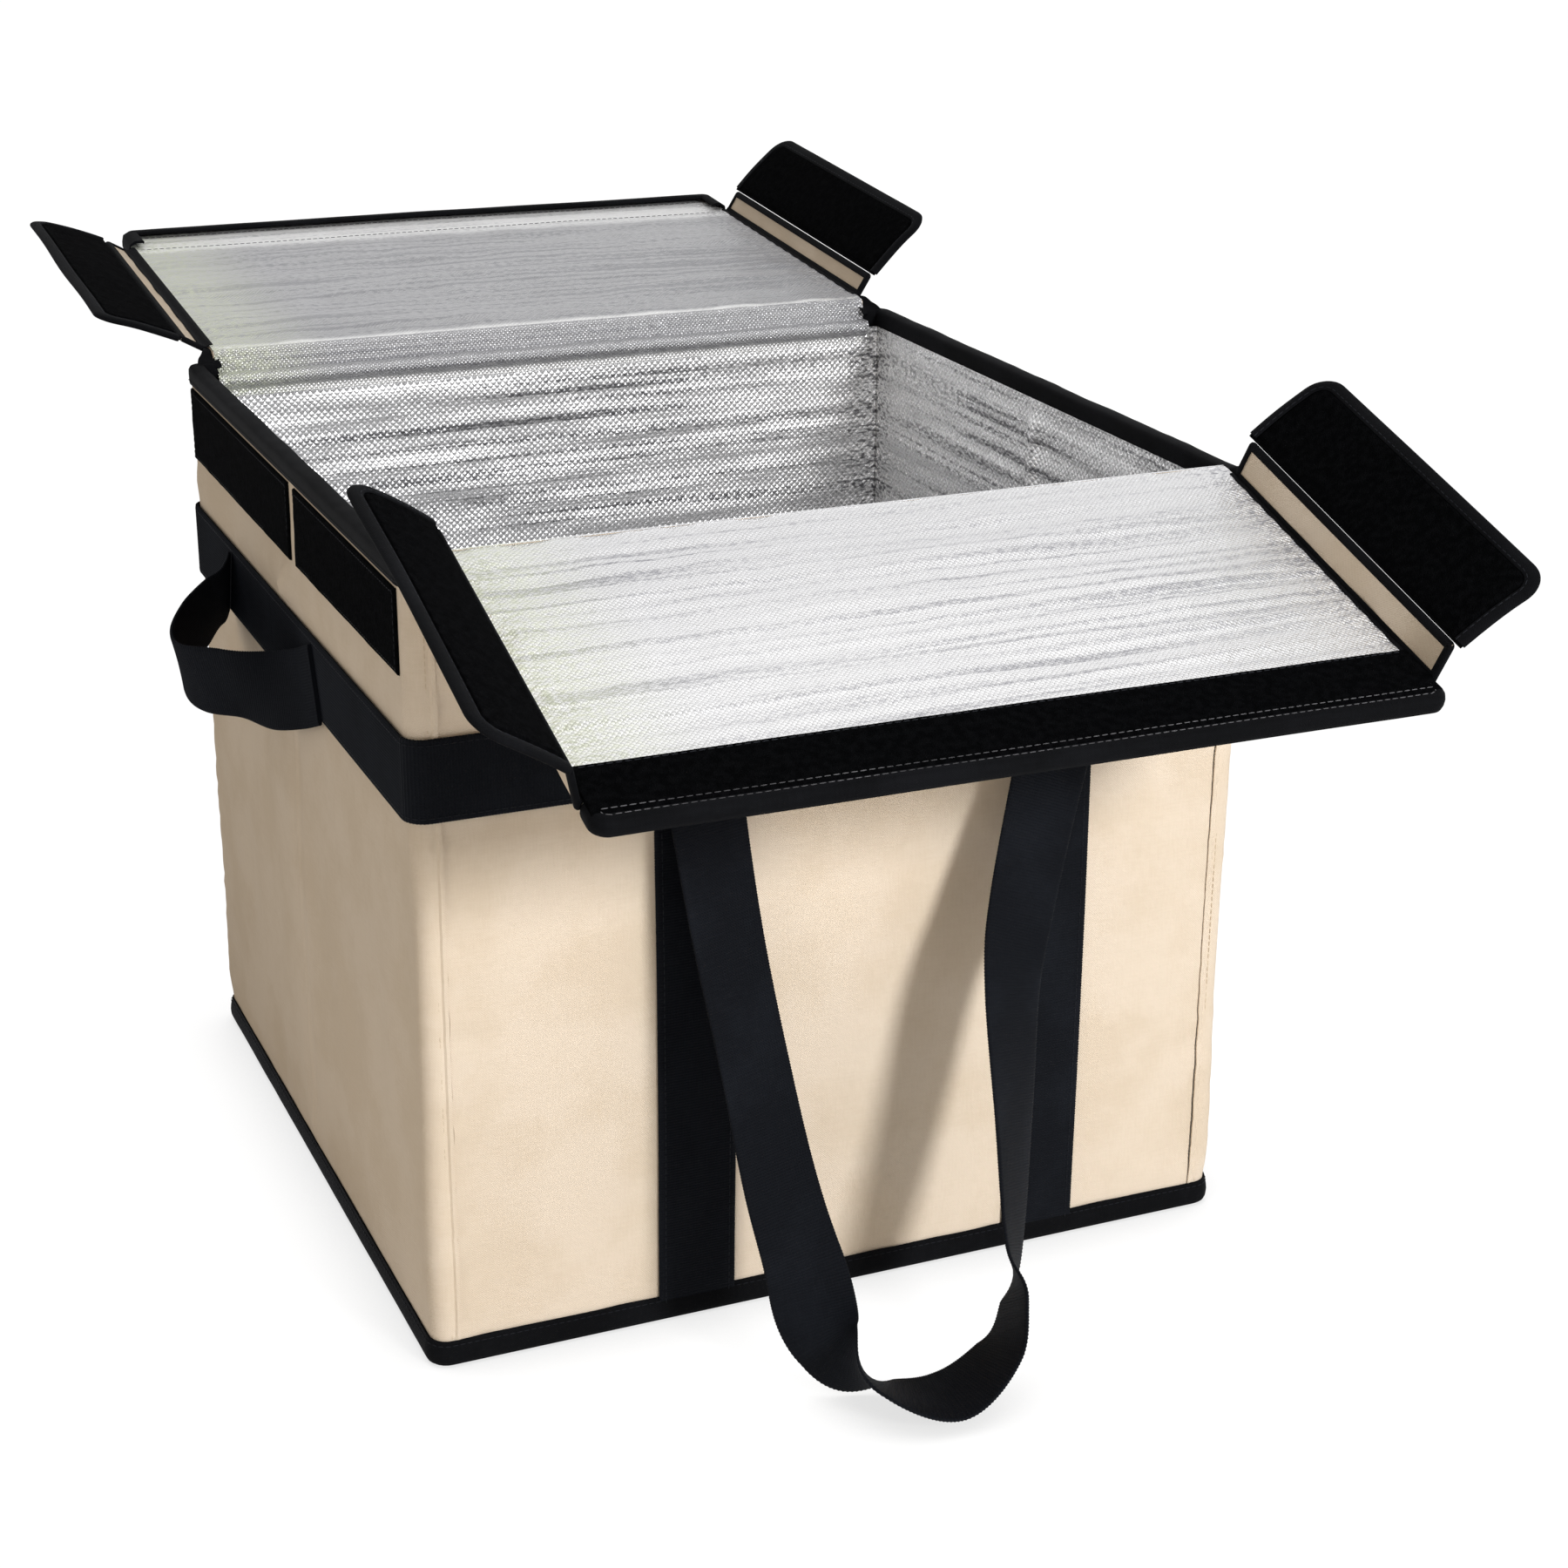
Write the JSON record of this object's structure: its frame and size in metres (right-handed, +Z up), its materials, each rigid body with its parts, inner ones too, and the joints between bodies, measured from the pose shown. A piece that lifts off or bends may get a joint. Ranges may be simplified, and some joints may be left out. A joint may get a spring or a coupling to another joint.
{
  "type": "insulated shopping tote",
  "caption": "Square insulated fabric tote with folding double lid, hook-and-loop tabs, hanging webbing loop handles and side grab handles.",
  "frame": {"origin": "centre of the underside of the base, where the bag rests", "axes": "+Z up, +Y from the front wall to the back wall, +X to the right along the front wall"},
  "size_m": [0.5098, 0.8346, 0.4499],
  "materials": {
    "outer_fabric": "woven cotton canvas, matte, pale beige",
    "foam_sheet": "closed-cell foam sheet, matte white",
    "foil_lining": "embossed metallised film, silver, glossy",
    "edge_binding": "woven binding tape, matte black",
    "webbing": "ribbed woven webbing, blue-black",
    "hook_tape": "hook tape, matte black",
    "loop_tape": "loop tape, soft matte black",
    "tab_fabric": "woven tape, matte black",
    "base_board": "plain sheet, matte grey"
  },
  "bodies": {
    "root": {"base_panel": "outer_fabric", "base_board": "base_board", "base_foam": "foam_sheet", "base_liner": "foil_lining", "base_binding": "edge_binding", "front_wall": "outer_fabric", "back_wall": "outer_fabric", "left_wall": "outer_fabric", "right_wall": "outer_fabric", "front_foam": "foam_sheet", "back_foam": "foam_sheet", "left_front_foam": "foam_sheet", "left_rear_foam": "foam_sheet", "right_front_foam": "foam_sheet", "right_rear_foam": "foam_sheet", "front_liner": "foil_lining", "back_liner": "foil_lining", "left_liner": "foil_lining", "right_liner": "foil_lining", "rim_binding": "edge_binding", "front_left_strap": "webbing", "front_right_strap": "webbing", "back_left_strap": "webbing", "back_right_strap": "webbing", "front_belt": "webbing", "back_belt": "webbing", "left_front_loop_patch": "loop_tape", "left_rear_loop_patch": "loop_tape", "right_front_loop_patch": "loop_tape", "right_rear_loop_patch": "loop_tape"},
    "front_lid": {"front_lid_shell": "outer_fabric", "front_lid_foam": "foam_sheet", "front_lid_liner": "foil_lining", "front_lid_binding": "edge_binding", "front_lid_hook_strip": "hook_tape"},
    "back_lid": {"back_lid_shell": "outer_fabric", "back_lid_foam": "foam_sheet", "back_lid_liner": "foil_lining", "back_lid_binding": "edge_binding", "back_lid_loop_strip": "loop_tape"},
    "front_left_strip": {"front_left_fold_strip": "outer_fabric"},
    "front_left_tab": {"front_left_tab_panel": "tab_fabric", "front_left_tab_binding": "edge_binding", "front_left_tab_hook_patch": "hook_tape"},
    "front_right_strip": {"front_right_fold_strip": "outer_fabric"},
    "front_right_tab": {"front_right_tab_panel": "tab_fabric", "front_right_tab_binding": "edge_binding", "front_right_tab_hook_patch": "hook_tape"},
    "back_left_strip": {"back_left_fold_strip": "outer_fabric"},
    "back_left_tab": {"back_left_tab_panel": "tab_fabric", "back_left_tab_binding": "edge_binding", "back_left_tab_hook_patch": "hook_tape"},
    "back_right_strip": {"back_right_fold_strip": "outer_fabric"},
    "back_right_tab": {"back_right_tab_panel": "tab_fabric", "back_right_tab_binding": "edge_binding", "back_right_tab_hook_patch": "hook_tape"},
    "front_handle": {"front_handle": "webbing"},
    "back_handle": {"back_handle": "webbing"},
    "left_handle": {"left_handle": "webbing"},
    "right_handle": {"right_handle": "webbing"}
  },
  "joints": [
    {"name": "front_lid_fold", "type": "hinge", "parent": "root", "child": "front_lid", "pos_m": [0, -0.2041, 0.3833], "axis": [-1, 0, 0], "range_deg": [0, 193.2]},
    {"name": "back_lid_fold", "type": "hinge", "parent": "root", "child": "back_lid", "pos_m": [0, 0.2041, 0.3833], "axis": [1, 0, 0], "range_deg": [0, 175.3]},
    {"name": "front_left_strip_fold", "type": "hinge", "parent": "front_lid", "child": "front_left_strip", "pos_m": [-0.1864, -0.2041, 0.3833], "axis": [0, -0.9588, -0.284], "range_deg": [0, 75]},
    {"name": "front_right_strip_fold", "type": "hinge", "parent": "front_lid", "child": "front_right_strip", "pos_m": [0.1864, -0.2041, 0.3833], "axis": [0, 0.9588, 0.284], "range_deg": [0, 75]},
    {"name": "back_left_strip_fold", "type": "hinge", "parent": "back_lid", "child": "back_left_strip", "pos_m": [-0.1904, 0.2041, 0.3833], "axis": [0, -0.9966, -0.0819], "range_deg": [0, 30]},
    {"name": "back_right_strip_fold", "type": "hinge", "parent": "back_lid", "child": "back_right_strip", "pos_m": [0.1904, 0.2041, 0.3833], "axis": [0, 0.9966, 0.0819], "range_deg": [0, 60]},
    {"name": "front_left_tab_fold", "type": "hinge", "parent": "front_left_strip", "child": "front_left_tab", "pos_m": [-0.19171, -0.20972, 0.40229], "axis": [0, 0.9588, 0.284], "range_deg": [-53, 127]},
    {"name": "front_right_tab_fold", "type": "hinge", "parent": "front_right_strip", "child": "front_right_tab", "pos_m": [0.19171, -0.20972, 0.40229], "axis": [0, -0.9588, -0.284], "range_deg": [-59, 121]},
    {"name": "back_left_tab_fold", "type": "hinge", "parent": "back_left_strip", "child": "back_left_tab", "pos_m": [-0.20469, 0.20342, 0.39152], "axis": [0, 0.9966, 0.0819], "range_deg": [-84, 96]},
    {"name": "back_right_tab_fold", "type": "hinge", "parent": "back_right_strip", "child": "back_right_tab", "pos_m": [0.19865, 0.20293, 0.39754], "axis": [0, -0.9966, -0.0819], "range_deg": [-79, 101]},
    {"name": "front_handle_swing", "type": "hinge", "parent": "root", "child": "front_handle", "pos_m": [0, -0.2084, 0.31], "axis": [-1, 0, 0], "range_deg": [0, 70]},
    {"name": "back_handle_swing", "type": "hinge", "parent": "root", "child": "back_handle", "pos_m": [0, 0.2084, 0.31], "axis": [1, 0, 0], "range_deg": [0, 85]},
    {"name": "left_handle_lift", "type": "hinge", "parent": "root", "child": "left_handle", "pos_m": [-0.2068, 0.03, 0.3033], "axis": [0, 1, 0], "range_deg": [0, 55]},
    {"name": "right_handle_lift", "type": "hinge", "parent": "root", "child": "right_handle", "pos_m": [0.2068, -0.03, 0.3033], "axis": [0, -1, 0], "range_deg": [0, 55]}
  ],
  "couplings": [
    {"joint": "front_left_strip_fold", "follows": "front_lid_fold", "ratio": 0.3881},
    {"joint": "front_right_strip_fold", "follows": "front_lid_fold", "ratio": 0.3881},
    {"joint": "back_left_strip_fold", "follows": "back_lid_fold", "ratio": 0.1711},
    {"joint": "back_right_strip_fold", "follows": "back_lid_fold", "ratio": 0.3422}
  ]
}
